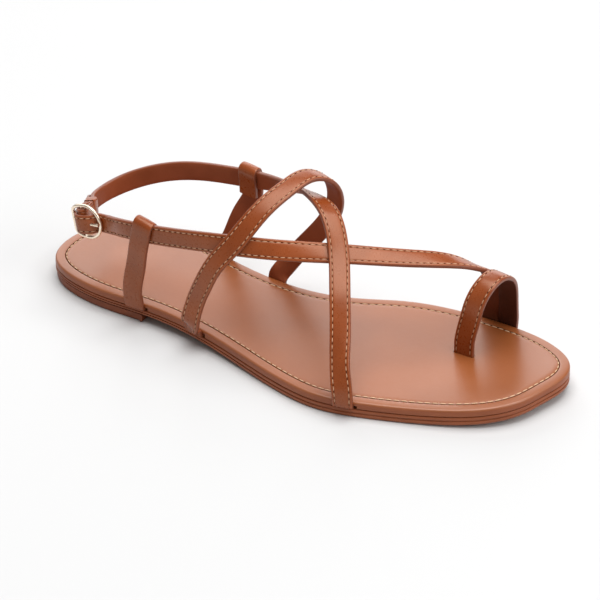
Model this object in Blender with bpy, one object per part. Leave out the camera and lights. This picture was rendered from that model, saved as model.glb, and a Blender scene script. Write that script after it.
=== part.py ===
"""Strappy flat sandal for the right foot, as solid subcomponents.

Tables and sizes are in millimetres in the shoe's own frame: X runs from the back of the
heel to the toe, Y to the big-toe side and Z up from the floor.  Meshes are made in metres,
and at the end the shoe is moved so the middle of its box stands over the origin.
"""
import bmesh
import bpy
import numpy as np
from math import acos, ceil, cos, pi, sin
from mathutils import Vector

MM = 0.001

# Driving sizes of the shoe.
LENGTH = 250.0
HEEL_END = 60.5
BALL_START = 140.0
SPRING_START = 185.0
TOE_SPRING = 3.8
FIT_GAP = 0.3

# Thicknesses of the sole's layers.
LIFT_HEIGHT = 3.8
OUTSOLE_HEEL = 2.5
OUTSOLE_BALL = 4.2
FOOTBED_THICK = 3.7

# Leather straps.
STRAP_WIDTH = 9.3
POST_WIDTH = 9.8
STRAP_THICK = 2.0
TUCK_THICK = 1.2
TUCK_DEPTH = 12.0
EDGE_ROUND = 0.5
LAP = 1.8

# Buckle.
WIRE_RADIUS = 0.8
PRONG_RADIUS = 0.65
BUCKLE_MIDDLE = np.array([29.4, -25.5, 41.6])
BUCKLE_FORWARD = np.array([0.976, -0.07, 0.205])
BAR_BACK = 2.2
RING_BACK = 7.9
RING_FRONT = 7.2
RING_HALF_HEIGHT = 7.8
HEEL_TURN = 73.0
FOLD_THICK = 1.2
FOLD_LIFT = 1.9
FLAP_LENGTH = 8.0
TAIL_THICK = 1.5
TAIL_LENGTH = 31.0
KEEPER_START = 10.0
KEEPER_LENGTH = 8.0
KEEPER_WALL = 0.8

# Outline of the footbed: station from the heel, big-toe side, little-toe side.
OUTLINE = (
    (0.0, -3.0, -3.0),
    (3.0, 10.6, -15.8),
    (8.0, 18.9, -21.3),
    (16.0, 26.0, -25.6),
    (25.0, 29.4, -28.1),
    (40.0, 29.8, -29.6),
    (60.0, 27.0, -29.0),
    (90.0, 22.4, -30.8),
    (116.0, 23.6, -36.3),
    (141.0, 32.1, -42.7),
    (160.0, 41.2, -45.3),
    (185.0, 46.7, -39.8),
    (210.0, 47.1, -30.2),
    (225.0, 44.5, -23.0),
    (236.0, 40.0, -14.8),
    (244.0, 34.2, -3.2),
    (248.0, 28.6, 9.6),
    (250.0, 20.0, 20.0),
)

# Side profiles of the sole's layers, from below: inset from the outline, share of the height.
OUTSOLE_SIDE = (
    (1.0, 0.0),
    (0.2, 0.16),
    (0.0, 0.46),
    (0.55, 0.54),
    (0.55, 0.62),
    (0.0, 0.70),
    (0.0, 0.92),
    (0.35, 1.0),
)
FOOTBED_SIDE = (
    (0.5, 0.0),
    (0.0, 0.14),
    (0.0, 0.55),
    (0.35, 0.80),
    (1.1, 0.95),
    (2.4, 1.0),
)
LIFT_SIDE = (
    (1.2, 0.0),
    (0.7, 0.14),
    (0.4, 1.0),
)


def smooth_step(value, start, end):
    """Ease from 0 at start to 1 at end."""
    share = min(max((value - start) / (end - start), 0.0), 1.0)
    return share * share * (3.0 - 2.0 * share)


def outsole_bottom(x):
    """Height of the outsole's underside over the floor."""
    rest = (LIFT_HEIGHT + FIT_GAP) * (1.0 - smooth_step(x, HEEL_END, BALL_START))
    spring = max(x - SPRING_START, 0.0) / (LENGTH - SPRING_START)
    return rest + TOE_SPRING * spring * spring


def outsole_top(x):
    """Height of the outsole's top."""
    ball = smooth_step(x, HEEL_END, BALL_START)
    return outsole_bottom(x) + OUTSOLE_HEEL + (OUTSOLE_BALL - OUTSOLE_HEEL) * ball


def footbed_bottom(x):
    """Height of the footbed's underside."""
    return outsole_top(x) + FIT_GAP


def footbed_top(x):
    """Height of the surface the foot stands on."""
    return footbed_bottom(x) + FOOTBED_THICK


def spline(rows, steps_of):
    """Natural cubic through the rows; steps_of gives the steps between two rows."""
    rows = np.array(rows, dtype=float)
    chord = np.linalg.norm(np.diff(rows[:, :3], axis=0), axis=1)
    place = np.concatenate([[0.0], np.cumsum(chord)])
    count = len(rows)
    matrix = np.eye(count)
    right = np.zeros_like(rows)
    for i in range(1, count - 1):
        before = place[i] - place[i - 1]
        after = place[i + 1] - place[i]
        matrix[i, i - 1 : i + 2] = (before, 2.0 * (before + after), after)
        rise = (rows[i + 1] - rows[i]) / after - (rows[i] - rows[i - 1]) / before
        right[i] = 6.0 * rise
    bend = np.linalg.solve(matrix, right)
    points = []
    for i in range(count - 1):
        span = place[i + 1] - place[i]
        steps = steps_of(span)
        for k in range(steps + (i == count - 2)):
            b = k / steps
            a = 1.0 - b
            curve = ((a**3 - a) * bend[i] + (b**3 - b) * bend[i + 1]) * span * span / 6.0
            points.append(a * rows[i] + b * rows[i + 1] + curve)
    return np.array(points)


def outline_angle(station):
    """Angle that spreads stations closely at the round ends of the sole."""
    return acos(1.0 - 2.0 * station / LENGTH)


def side_spline(column):
    """Rows of angle and side offset, splined finely for one side of the outline."""
    rows = [(outline_angle(row[0]) * 60.0, row[column], 0.0) for row in OUTLINE]
    return spline(rows, lambda span: 12)


MEDIAL_SIDE = side_spline(1)
LATERAL_SIDE = side_spline(2)


def side_offset(side, station):
    """Y of the outline at a station; side is +1 for the big-toe side, -1 for the other."""
    table = MEDIAL_SIDE if side > 0 else LATERAL_SIDE
    return float(np.interp(outline_angle(station) * 60.0, table[:, 0], table[:, 1]))


def edge(side, station):
    """Point of the outline and its outward direction in plan."""
    behind = side_offset(side, station - 0.5)
    ahead = side_offset(side, station + 0.5)
    outward = np.array([-(ahead - behind) * side, side, 0.0])
    point = np.array([station, side_offset(side, station), 0.0])
    return point, outward / np.linalg.norm(outward)


def plan_loop(stations):
    """Closed outline over the stations: out along the big-toe side, back along the other."""
    medial = [(x, side_offset(1, x)) for x in stations]
    lateral = [(x, side_offset(-1, x)) for x in stations]
    return medial, lateral


def add_object(name, bm, home):
    """Turn a bmesh in millimetres into an object in metres."""
    bmesh.ops.scale(bm, vec=(MM, MM, MM), verts=bm.verts)
    bmesh.ops.recalc_face_normals(bm, faces=bm.faces)
    mesh = bpy.data.meshes.new(name)
    bm.to_mesh(mesh)
    bm.free()
    obj = bpy.data.objects.new(name, mesh)
    home.objects.link(obj)
    return obj


def sole_layer(name, stations, side, bottom, top, home):
    """Loft one layer of the sole: rings up its side, ladders of quads under and over it."""
    medial, lateral = plan_loop(stations)
    closed_end = stations[-1] >= LENGTH
    back = lateral[1:-1] if closed_end else lateral[1:]
    loop = np.array(medial + back[::-1])
    tangent = np.roll(loop, -1, axis=0) - np.roll(loop, 1, axis=0)
    tangent /= np.linalg.norm(tangent, axis=1)[:, None]
    inward = np.stack([tangent[:, 1], -tangent[:, 0]], axis=1)
    bm = bmesh.new()
    rings = []
    for inset, share in side:
        ring = []
        for point, turn in zip(loop, inward):
            x, y = point + turn * inset
            height = bottom(point[0]) + share * (top(point[0]) - bottom(point[0]))
            ring.append(bm.verts.new((x, y, height)))
        rings.append(ring)
    count = len(loop)
    for low, high in zip(rings, rings[1:]):
        for i in range(count):
            j = (i + 1) % count
            bm.faces.new((low[i], low[j], high[j], high[i]))
    last = len(stations) - 1
    for ring in (rings[0], rings[-1]):
        for i in range(last):
            corners = [ring[i], ring[i + 1], ring[(count - i - 1) % count], ring[(count - i) % count]]
            faces = list(dict.fromkeys(corners))
            bm.faces.new(faces)
    return add_object(name, bm, home)


def unit(vector):
    return vector / np.linalg.norm(vector)


def strap_steps(span):
    """Steps between two rows of a strap."""
    return max(2, ceil(span / 4.5))


def band_frames(rows):
    """Middle, run, facing and thickness along a strap laid through its rows.

    Each row holds the middle x, y, z, the facing of the outer side x, y, z and the thickness.
    """
    points = spline(rows, strap_steps)
    middle = points[:, :3]
    run = np.gradient(middle, axis=0)
    run /= np.linalg.norm(run, axis=1)[:, None]
    facing = points[:, 3:6]
    facing = facing - run * np.sum(facing * run, axis=1)[:, None]
    facing /= np.linalg.norm(facing, axis=1)[:, None]
    return middle, run, facing, points[:, 6]


def section(width, thick):
    """Rectangle with cut corners, across the strap and along its facing."""
    half = width / 2.0
    deep = thick / 2.0
    cut = min(EDGE_ROUND, deep * 0.6)
    return (
        (half - cut, deep),
        (half, deep - cut),
        (half, cut - deep),
        (half - cut, -deep),
        (cut - half, -deep),
        (-half, cut - deep),
        (-half, deep - cut),
        (cut - half, deep),
    )


def band(name, rows, home, width=STRAP_WIDTH, grow=0.0):
    """Loft a strap through its rows; grow makes it larger on every side, for a cutter."""
    middle, run, facing, thick = band_frames(rows)
    middle[0] -= run[0] * grow
    middle[-1] += run[-1] * grow
    across = np.cross(run, facing)
    bm = bmesh.new()
    rings = []
    for i in range(len(middle)):
        ring = []
        for side, out in section(width + 2.0 * grow, thick[i] + 2.0 * grow):
            ring.append(bm.verts.new(middle[i] + across[i] * side + facing[i] * out))
        rings.append(ring)
    count = len(rings[0])
    for low, high in zip(rings, rings[1:]):
        for i in range(count):
            j = (i + 1) % count
            bm.faces.new((low[i], low[j], high[j], high[i]))
    bm.faces.new(rings[0])
    bm.faces.new(rings[-1])
    return add_object(name, bm, home)


def row(middle, facing, thick=STRAP_THICK):
    return tuple(middle) + tuple(facing) + (thick,)


def rows_of(table):
    """Full rows from a table of x, y, z and facing x, y, z."""
    return [row(line[:3], line[3:6]) for line in table]


def foot_rows(side, station):
    """A strap's foot: tucked under the footbed, round its edge and up beside it."""
    point, outward = edge(side, station)
    level = outsole_top(station) + FIT_GAP + TUCK_THICK / 2.0
    beside = FIT_GAP + STRAP_THICK / 2.0
    radius = 2.0
    turn = beside - radius
    half = radius * cos(pi / 4.0)
    down = np.array([0.0, 0.0, -1.0])
    up = np.array([0.0, 0.0, 1.0])

    def at(out, height):
        return point + outward * out + up * (level + height)

    return [
        row(at(-TUCK_DEPTH, 0.0), down, TUCK_THICK),
        row(at(turn - 1.5, 0.0), down, TUCK_THICK),
        row(at(turn + half, radius - half), outward + down, 1.6),
        row(at(beside, radius + 0.8), outward),
    ]


def nearest_frame(rows, point):
    """Middle, run and facing of a strap at its place nearest to a point."""
    middle, run, facing, thick = band_frames(rows)
    i = int(np.argmin(np.linalg.norm(middle - np.array(point), axis=1)))
    return middle[i], run[i], facing[i]


def over(rows, point):
    """Row for a strap that lies on the outside of another one near a point."""
    middle, run, facing = nearest_frame(rows, point)
    return row(middle + facing * LAP, facing)


def buckle_frame_axes():
    """Forward, up and outward directions of the buckle's plane."""
    forward = unit(BUCKLE_FORWARD)
    outward = unit(np.cross(forward, np.array([0.0, 0.0, 1.0])))
    up = np.cross(outward, forward)
    return forward, up, outward


FORWARD, UP, OUTWARD = buckle_frame_axes()


def on_buckle(ahead, out, high=0.0):
    """Point given along the strap, outward and up from the middle of the buckle."""
    return BUCKLE_MIDDLE + FORWARD * ahead + OUTWARD * out + UP * high


BAR = on_buckle(-BAR_BACK, 0.0)


def bar_side(turn):
    """Direction away from the bar, turned back from the outward side by degrees."""
    angle = turn * pi / 180.0
    return OUTWARD * cos(angle) - FORWARD * sin(angle)


HEEL_OUT = bar_side(HEEL_TURN)
HEEL_AWAY = bar_side(HEEL_TURN + 90.0)

# Heel part of the rear strap, from behind the buckle round the heel to the big-toe side:
# middle x, y, z and facing x, y, z.
HEEL_PART = (
    (18.2, -6.6, 36.8, -0.88, -0.47, 0.0),
    (14.8, 1.5, 35.0, -0.98, -0.15, 0.0),
    (14.9, 9.0, 34.8, -0.93, 0.35, 0.0),
    (19.2, 17.0, 36.8, -0.65, 0.75, 0.0),
    (26.0, 22.2, 39.8, -0.40, 0.91, 0.0),
    (34.0, 25.8, 42.8, -0.25, 0.97, 0.0),
    (47.0, 28.4, 46.8, -0.05, 1.00, 0.0),
    (65.0, 28.8, 50.8, 0.00, 1.00, 0.03),
)

# The same strap from the big-toe side post over the instep, before and after it crosses
# the toe strap.
INSTEP_RISE = (
    (82.3, 27.4, 54.4, 0.05, 0.99, 0.06),
    (105.9, 20.6, 61.9, 0.00, 0.85, 0.50),
    (126.6, 10.5, 68.4, -0.05, 0.50, 0.86),
    (140.9, 1.8, 67.4, 0.20, -0.05, 0.98),
)
INSTEP_FALL = (
    (159.6, -20.4, 46.8, 0.40, -0.70, 0.55),
    (166.8, -31.5, 34.0, 0.35, -0.82, 0.45),
    (173.0, -41.4, 20.4, 0.20, -0.93, 0.30),
)

# Toe strap from the buckle along the little-toe side, over the forefoot and down beside the
# outer leg of the toe ring.
TOE_RUN = (
    (47.0, -27.0, 45.4, 0.00, -1.00, 0.00),
    (62.2, -29.0, 48.5, 0.00, -1.00, 0.03),
    (87.6, -29.5, 53.5, 0.00, -1.00, 0.10),
    (107.6, -27.8, 56.7, 0.10, -0.94, 0.30),
    (128.4, -20.5, 57.2, 0.26, -0.74, 0.60),
    (151.1, -6.0, 55.3, 0.28, -0.46, 0.84),
    (175.9, 12.0, 51.8, 0.20, -0.25, 0.95),
    (187.5, 20.6, 50.2, 0.12, -0.10, 0.98),
    (194.6, 27.4, 47.2, 0.06, 0.22, 0.97),
    (198.4, 33.4, 42.9, 0.04, 0.52, 0.85),
    (199.4, 40.6, 37.0, 0.03, 0.80, 0.60),
    (199.0, 45.0, 28.4, 0.02, 0.96, 0.28),
    (197.0, 47.9, 17.0, 0.00, 1.00, 0.08),
)

# Instep strap, little-toe side leg up to its crossing, then over and down the other side.
ARCH_RISE = (
    (91.4, -36.0, 14.3, -0.05, -0.99, 0.00),
    (94.0, -36.0, 26.0, -0.08, -0.99, 0.05),
    (98.0, -35.2, 36.9, -0.08, -0.98, 0.12),
    (102.8, -33.2, 47.7, -0.08, -0.95, 0.25),
)
ARCH_FALL = (
    (117.4, -16.5, 72.6, 0.08, -0.76, 0.64),
    (122.0, -2.0, 78.2, 0.12, -0.30, 0.94),
    (125.2, 9.5, 79.0, 0.18, 0.25, 0.95),
    (129.4, 16.6, 75.2, 0.25, 0.70, 0.67),
    (130.8, 22.0, 64.4, 0.20, 0.93, 0.25),
    (121.4, 26.0, 42.4, 0.05, 0.99, 0.00),
    (108.5, 26.8, 25.0, 0.00, 1.00, 0.00),
    (101.5, 25.8, 14.5, 0.00, 1.00, 0.00),
)

# Where the toe strap runs under the rear strap and under the instep strap.
REAR_CROSSING = (150.2, -6.6, 55.3)
ARCH_CROSSING = (108.3, -27.7, 56.8)

# Toe ring from the slot in the footbed over the big toe to the edge.
RING_BODY = (
    (201.6, 16.2, 14.0, 0.00, -1.00, 0.00),
    (203.8, 16.4, 26.5, 0.00, -1.00, 0.05),
    (205.6, 18.6, 36.8, 0.00, -0.88, 0.45),
    (207.2, 23.6, 42.4, 0.00, -0.50, 0.86),
    (208.2, 31.0, 43.6, 0.05, 0.10, 0.99),
    (208.6, 38.2, 39.6, 0.05, 0.62, 0.78),
    (207.6, 43.8, 29.6, 0.03, 0.95, 0.30),
    (206.2, 47.4, 17.0, 0.00, 1.00, 0.08),
)
RING_SLOT_Y = 16.2

# Feet of the straps: side of the shoe and station.
REAR_FOOT = (-1, 175.6)
ARCH_LATERAL_FOOT = (-1, 90.2)
ARCH_MEDIAL_FOOT = (1, 99.2)
RING_FOOT = (1, 205.5)
TOE_FOOT = (1, 196.1)
LATERAL_POST_FOOT = (-1, 57.0)
MEDIAL_POST_FOOT = (1, 68.0)

# Posts that hold the ankle straps, between the foot and the loop.
LATERAL_POST = ((56.8, -31.0, 16.0, 0.0, -1.0, 0.0), (58.8, -30.6, 31.0, 0.0, -1.0, 0.0))
MEDIAL_POST = ((70.6, 27.0, 17.0, 0.0, 1.0, 0.0), (77.0, 28.8, 34.0, 0.0, 1.0, 0.0))


def buckled_end():
    """Rear strap's end: folded round the bar of the buckle, its flap on the inside."""
    wrap = WIRE_RADIUS + FIT_GAP + FOLD_THICK / 2.0
    flap = (FOLD_THICK + FIT_GAP) / 2.0
    middle = BAR + UP * FOLD_LIFT
    inside = -HEEL_OUT * (flap + 0.6)
    rows = [
        row(middle + HEEL_AWAY * FLAP_LENGTH + inside - UP * 0.8, -HEEL_OUT, FOLD_THICK),
        row(middle + HEEL_AWAY * FLAP_LENGTH / 2.0 + inside - UP * 0.4, -HEEL_OUT, FOLD_THICK),
    ]
    for turn in (-180.0, -135.0, -90.0, -45.0, 0.0):
        side = bar_side(HEEL_TURN + turn)
        rows.append(row(middle + side * wrap, side, FOLD_THICK))
    rows.append(row(middle + HEEL_AWAY * 6.0 + HEEL_OUT * (flap + 0.3) - UP * 0.6, HEEL_OUT, 1.7))
    rows.append(row(middle + HEEL_AWAY * 12.5 + HEEL_OUT * (flap - 0.1) - UP * 2.4, HEEL_OUT))
    return rows


def stretch(rows, start, places):
    """Middle and facing of a strap at distances along it after the place nearest to start."""
    middle, run, facing, thick = band_frames(rows)
    step = np.linalg.norm(np.diff(middle, axis=0), axis=1)
    path = np.concatenate([[0.0], np.cumsum(step)])
    first = path[int(np.argmin(np.linalg.norm(middle - start, axis=1)))]
    found = []
    for place in places:
        point = [np.interp(first + place, path, middle[:, i]) for i in range(3)]
        turn = [np.interp(first + place, path, facing[:, i]) for i in range(3)]
        found.append((np.array(point), unit(np.array(turn))))
    return found


def strap_tail(heel_rows):
    """Toe strap's free end, lying outside the heel part, then over the bar and under the bow."""
    lie = (STRAP_THICK + TAIL_THICK) / 2.0 + FIT_GAP
    wrap = WIRE_RADIUS + 2.0 * FIT_GAP + FOLD_THICK + TAIL_THICK / 2.0
    under = WIRE_RADIUS + FIT_GAP + TAIL_THICK / 2.0
    rows = []
    keeper_end = KEEPER_START + KEEPER_LENGTH
    places = (TAIL_LENGTH, TAIL_LENGTH * 0.8, keeper_end, keeper_end - KEEPER_LENGTH / 2.0, KEEPER_START)
    beside = stretch(heel_rows, BAR + HEEL_OUT * 2.0, places)
    for middle, facing in beside:
        rows.append(row(middle + facing * lie, facing, TAIL_THICK))
    for turn in (HEEL_TURN, HEEL_TURN * 0.3, -15.0):
        side = bar_side(turn)
        rows.append(row(BAR + side * wrap, side, TAIL_THICK))
    # ahead, out, down, lean of the facing towards the toe, thickness
    dive = (
        (RING_FRONT * 0.36, 0.5, 0.2, 0.9, TAIL_THICK),
        (RING_FRONT * 0.62, -under * 0.95, 0.4, 0.3, TAIL_THICK),
        (RING_FRONT, -under * 1.15, 0.7, 0.0, TAIL_THICK),
        (RING_FRONT + 5.0, -under * 0.9, 0.7, 0.0, TAIL_THICK + 0.4),
    )
    for ahead, out, down, lean, thick in dive:
        rows.append(row(on_buckle(ahead, out, -down), OUTWARD + FORWARD * lean, thick))
    return rows


def post_rows(foot, table, held, near, square, flap):
    """Post from its foot up the outside of an ankle strap, over it and down inside.

    The fold follows the post's climb, or with square at 1 it lies square across the strap.
    The flap is how far its end hangs below the middle of the strap.
    """
    middle, run, facing = nearest_frame(held, near)
    climb = middle - np.array(table[-1][:3])
    climb = unit(climb - facing * np.dot(climb, facing))
    straight = unit(climb - run * np.dot(climb, run))
    rise = unit(climb * (1.0 - square) + straight * square)
    reach = STRAP_WIDTH / 2.0 + 0.6
    half = LAP * cos(pi / 4.0)

    def at(away, high):
        return middle + facing * away + rise * high

    loop = [
        row(at(LAP, -reach - 1.5), facing),
        row(at(LAP, 0.0), facing),
        row(at(LAP, reach - 1.0), facing),
        row(at(half, reach - 1.0 + half), facing + rise),
        row(at(0.0, reach - 1.0 + LAP), rise),
        row(at(-half, reach - 1.0 + half), rise - facing),
        row(at(-LAP, reach - 1.0), -facing),
        row(at(-LAP, reach - 1.0 - flap / 2.0), -facing),
        row(at(-LAP, -flap), -facing),
    ]
    return foot + rows_of(table) + loop


def toe_ring_rows():
    """Toe ring: tucked under the footbed, up through its slot, over and round the edge."""
    station = RING_BODY[0][0]
    level = outsole_top(station) + FIT_GAP + TUCK_THICK / 2.0
    radius = 2.0
    half = radius * cos(pi / 4.0)
    up = np.array([0.0, 0.0, 1.0])
    out = np.array([0.0, -1.0, 0.0])
    base = np.array([station, RING_SLOT_Y - radius, level])
    slot = [
        row(base + out * 8.0, up, TUCK_THICK),
        row(base + out * 1.5, up, TUCK_THICK),
        row(base - out * half + up * (radius - half), up + out, 1.6),
        row(base - out * radius + up * (radius + 0.8), out),
    ]
    return slot + rows_of(RING_BODY) + foot_rows(*RING_FOOT)[::-1]


def wire(name, points, handles, radius, closed, home):
    """Round wire along a Bezier path given in points and handle pairs."""
    curve = bpy.data.curves.new(name + "_path", "CURVE")
    curve.dimensions = "3D"
    curve.bevel_depth = radius * MM
    curve.bevel_resolution = 2
    curve.resolution_u = 7
    curve.render_resolution_u = 7
    curve.use_fill_caps = True
    path = curve.splines.new("BEZIER")
    path.bezier_points.add(len(points) - 1)
    path.use_cyclic_u = closed
    for knot, point, (before, after) in zip(path.bezier_points, points, handles):
        knot.handle_left_type = "FREE"
        knot.handle_right_type = "FREE"
        knot.co = Vector(point * MM)
        knot.handle_left = Vector(before * MM)
        knot.handle_right = Vector(after * MM)
    holder = bpy.data.objects.new(name + "_path", curve)
    home.objects.link(holder)
    bpy.context.view_layer.update()
    mesh = bpy.data.meshes.new_from_object(holder.evaluated_get(bpy.context.evaluated_depsgraph_get()))
    bpy.data.objects.remove(holder)
    mesh.name = name
    obj = bpy.data.objects.new(name, mesh)
    home.objects.link(obj)
    bm = bmesh.new()
    bm.from_mesh(mesh)
    bmesh.ops.remove_doubles(bm, verts=bm.verts, dist=0.00001)
    bmesh.ops.recalc_face_normals(bm, faces=bm.faces)
    bm.to_mesh(mesh)
    bm.free()
    return obj


def buckle_ring(name, home):
    """D-shaped ring: a straight side behind, a round bow in front."""
    tall = RING_HALF_HEIGHT
    corner = 5.2
    crown = -0.5
    # ahead, high, then the handles before and after in the same two columns
    knots = (
        (-RING_BACK, -corner, -RING_BACK, -tall + 0.8, -RING_BACK, -corner + 3.0),
        (-RING_BACK, corner, -RING_BACK, corner - 3.0, -RING_BACK, tall - 0.8),
        (crown, tall, crown - 5.4, tall, crown + 4.4, tall),
        (RING_FRONT, 0.0, RING_FRONT, 4.4, RING_FRONT, -4.4),
        (crown, -tall, crown + 4.4, -tall, crown - 5.4, -tall),
    )
    points = [on_buckle(k[0], 0.0, k[1]) for k in knots]
    handles = [(on_buckle(k[2], 0.0, k[3]), on_buckle(k[4], 0.0, k[5])) for k in knots]
    return wire(name, points, handles, WIRE_RADIUS, True, home)


def buckle_bar(name, home):
    """Straight bar across the ring, which the rear strap and the prong turn on."""
    end = RING_HALF_HEIGHT - 0.2
    points = [on_buckle(-BAR_BACK, 0.0, high) for high in (-end, end)]
    handles = [(point - UP, point + UP) for point in points]
    return wire(name, points, handles, WIRE_RADIUS * 0.95, False, home)


def prong_path(reach):
    """Hook round the bar and a straight pin that rests on the bow."""
    hook = WIRE_RADIUS + FIT_GAP + PRONG_RADIUS
    rest = WIRE_RADIUS + FIT_GAP + PRONG_RADIUS
    round_off = hook * 0.55
    # ahead, out, then the handles before and after in the same two columns
    knots = (
        (-BAR_BACK + 0.4, -hook, -BAR_BACK + 0.9, -hook, -BAR_BACK - round_off, -hook),
        (-BAR_BACK - hook, 0.0, -BAR_BACK - hook, -round_off, -BAR_BACK - hook, round_off),
        (-BAR_BACK, hook, -BAR_BACK - round_off, hook, -BAR_BACK + 4.0, hook + 0.1),
        (reach, rest, reach - 4.0, rest + 0.1, reach + 0.5, rest),
    )
    points = [on_buckle(k[0], k[1]) for k in knots]
    handles = [(on_buckle(k[2], k[3]), on_buckle(k[4], k[5])) for k in knots]
    return points, handles


def keeper_rows(heel_rows):
    """Short path midway between the heel part and the free end beside it."""
    shift = (TAIL_THICK + FIT_GAP) / 2.0
    places = [KEEPER_START + KEEPER_LENGTH * i / 4.0 for i in range(-1, 6)]
    found = stretch(heel_rows, BAR + HEEL_OUT * 2.0, places)
    inside = STRAP_THICK + TAIL_THICK + 3.0 * FIT_GAP
    return [row(middle + facing * shift, facing, inside) for middle, facing in found]


def boolean(target, operand, operation):
    cut = target.modifiers.new(operand.name, "BOOLEAN")
    cut.operation = operation
    cut.solver = "EXACT"
    cut.object = operand


def paint(obj, name, colour, metal, rough):
    material = bpy.data.materials.new(name)
    material.use_nodes = True
    shader = material.node_tree.nodes["Principled BSDF"]
    shader.inputs["Base Color"].default_value = colour
    shader.inputs["Metallic"].default_value = metal
    shader.inputs["Roughness"].default_value = rough
    obj.data.materials.clear()
    obj.data.materials.append(material)


def cosine_stations(count, end):
    """Stations from the heel to end, close together at both round ends."""
    last = outline_angle(end)
    return [LENGTH * (1.0 - cos(last * i / count)) / 2.0 for i in range(count + 1)]


for old in list(bpy.data.objects):
    bpy.data.objects.remove(old)

parts = bpy.data.collections.new("strappy_flat_sandal")
cutters = bpy.data.collections.new("cutters")
bpy.context.scene.collection.children.link(parts)
bpy.context.scene.collection.children.link(cutters)

# Sole: heel lift, outsole and footbed.
sole_stations = cosine_stations(40, LENGTH)
lift_stations = cosine_stations(16, HEEL_END)
heel_lift = sole_layer("heel_lift", lift_stations, LIFT_SIDE, lambda x: 0.0, lambda x: LIFT_HEIGHT, parts)
outsole = sole_layer("outsole", sole_stations, OUTSOLE_SIDE, outsole_bottom, outsole_top, parts)
footbed = sole_layer("footbed", sole_stations, FOOTBED_SIDE, footbed_bottom, footbed_top, parts)

# Upper: every strap is lofted through its rows, and they are joined where they cross.
heel_rows = buckled_end() + rows_of(HEEL_PART)
toe_rows = strap_tail(heel_rows) + rows_of(TOE_RUN) + foot_rows(*TOE_FOOT)[::-1]
rear_rows = heel_rows + rows_of(INSTEP_RISE)
rear_rows.append(over(toe_rows, REAR_CROSSING))
rear_rows += rows_of(INSTEP_FALL) + foot_rows(*REAR_FOOT)[::-1]
arch_rows = foot_rows(*ARCH_LATERAL_FOOT) + rows_of(ARCH_RISE)
arch_rows.append(over(toe_rows, ARCH_CROSSING))
arch_rows += rows_of(ARCH_FALL) + foot_rows(*ARCH_MEDIAL_FOOT)[::-1]
lateral_rows = post_rows(
    foot_rows(*LATERAL_POST_FOOT), LATERAL_POST, toe_rows, TOE_RUN[1][:3], square=0.0, flap=4.2
)
medial_rows = post_rows(
    foot_rows(*MEDIAL_POST_FOOT), MEDIAL_POST, rear_rows, INSTEP_RISE[0][:3], square=0.5, flap=7.6
)
ring_rows = toe_ring_rows()

upper = band("upper", toe_rows, parts)
joined = (
    ("rear_strap", rear_rows, STRAP_WIDTH),
    ("instep_strap", arch_rows, STRAP_WIDTH),
    ("lateral_post", lateral_rows, POST_WIDTH),
    ("medial_post", medial_rows, POST_WIDTH),
    ("toe_ring", ring_rows, POST_WIDTH),
)
for name, rows, width in joined:
    boolean(upper, band(name, rows, cutters, width), "UNION")

# Buckle, its prong with its hole and slot in the leather, and the keeper of the free end.
buckle_frame = buckle_ring("buckle_frame", parts)
boolean(buckle_frame, buckle_bar("buckle_bar", cutters), "UNION")
pin_points, pin_handles = prong_path(RING_FRONT + 0.6)
buckle_prong = wire("buckle_prong", pin_points, pin_handles, PRONG_RADIUS, False, parts)
hole_points, hole_handles = prong_path(RING_FRONT + 1.2)
prong_hole = wire("prong_hole", hole_points, hole_handles, PRONG_RADIUS + FIT_GAP, False, cutters)
boolean(upper, prong_hole, "DIFFERENCE")
held = keeper_rows(heel_rows)
inner_width = STRAP_WIDTH + 2.0 * FIT_GAP
strap_keeper = band("strap_keeper", held[1:-1], parts, width=inner_width, grow=KEEPER_WALL)
keeper_hole = band("keeper_hole", held, cutters, width=inner_width)
boolean(strap_keeper, keeper_hole, "DIFFERENCE")

# Pockets in the sole for the tucked strap ends, and the slot of the toe ring.
feet = (
    ("foot_rear", rear_rows[-7:], STRAP_WIDTH),
    ("foot_arch_lateral", arch_rows[:7], STRAP_WIDTH),
    ("foot_arch_medial", arch_rows[-7:], STRAP_WIDTH),
    ("foot_post_lateral", lateral_rows[:7], POST_WIDTH),
    ("foot_post_medial", medial_rows[:7], POST_WIDTH),
    ("foot_ring_edge", ring_rows[-7:], POST_WIDTH),
    ("foot_ring_slot", ring_rows[:7], POST_WIDTH),
    ("foot_toe", toe_rows[-7:], STRAP_WIDTH),
)
for name, rows, width in feet:
    pocket = band(name, rows, cutters, width, FIT_GAP)
    boolean(footbed, pocket, "DIFFERENCE")

paint(heel_lift, "heel rubber", (0.12, 0.05, 0.03, 1.0), 0.0, 0.6)
paint(outsole, "sole rubber", (0.15, 0.06, 0.035, 1.0), 0.0, 0.55)
paint(footbed, "footbed leather", (0.42, 0.20, 0.11, 1.0), 0.0, 0.4)
paint(upper, "strap leather", (0.28, 0.11, 0.055, 1.0), 0.0, 0.4)
paint(strap_keeper, "keeper leather", (0.28, 0.11, 0.055, 1.0), 0.0, 0.4)
paint(buckle_frame, "gold wire", (0.80, 0.60, 0.32, 1.0), 1.0, 0.25)
paint(buckle_prong, "gold pin", (0.80, 0.60, 0.32, 1.0), 1.0, 0.25)

for helper in cutters.objects:
    helper.hide_render = True
    helper.display_type = "WIRE"

# Stand the shoe over the origin by the middle of its box.
bpy.context.view_layer.update()
graph = bpy.context.evaluated_depsgraph_get()
corners = []
for obj in parts.objects:
    shape = obj.evaluated_get(graph)
    corners += [tuple(vertex.co) for vertex in shape.data.vertices]
corners = np.array(corners)
low = corners.min(axis=0)
high = corners.max(axis=0)
shift = Vector((-(low[0] + high[0]) / 2.0, -(low[1] + high[1]) / 2.0, -low[2]))
for obj in list(parts.objects) + list(cutters.objects):
    obj.location = shift
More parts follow.
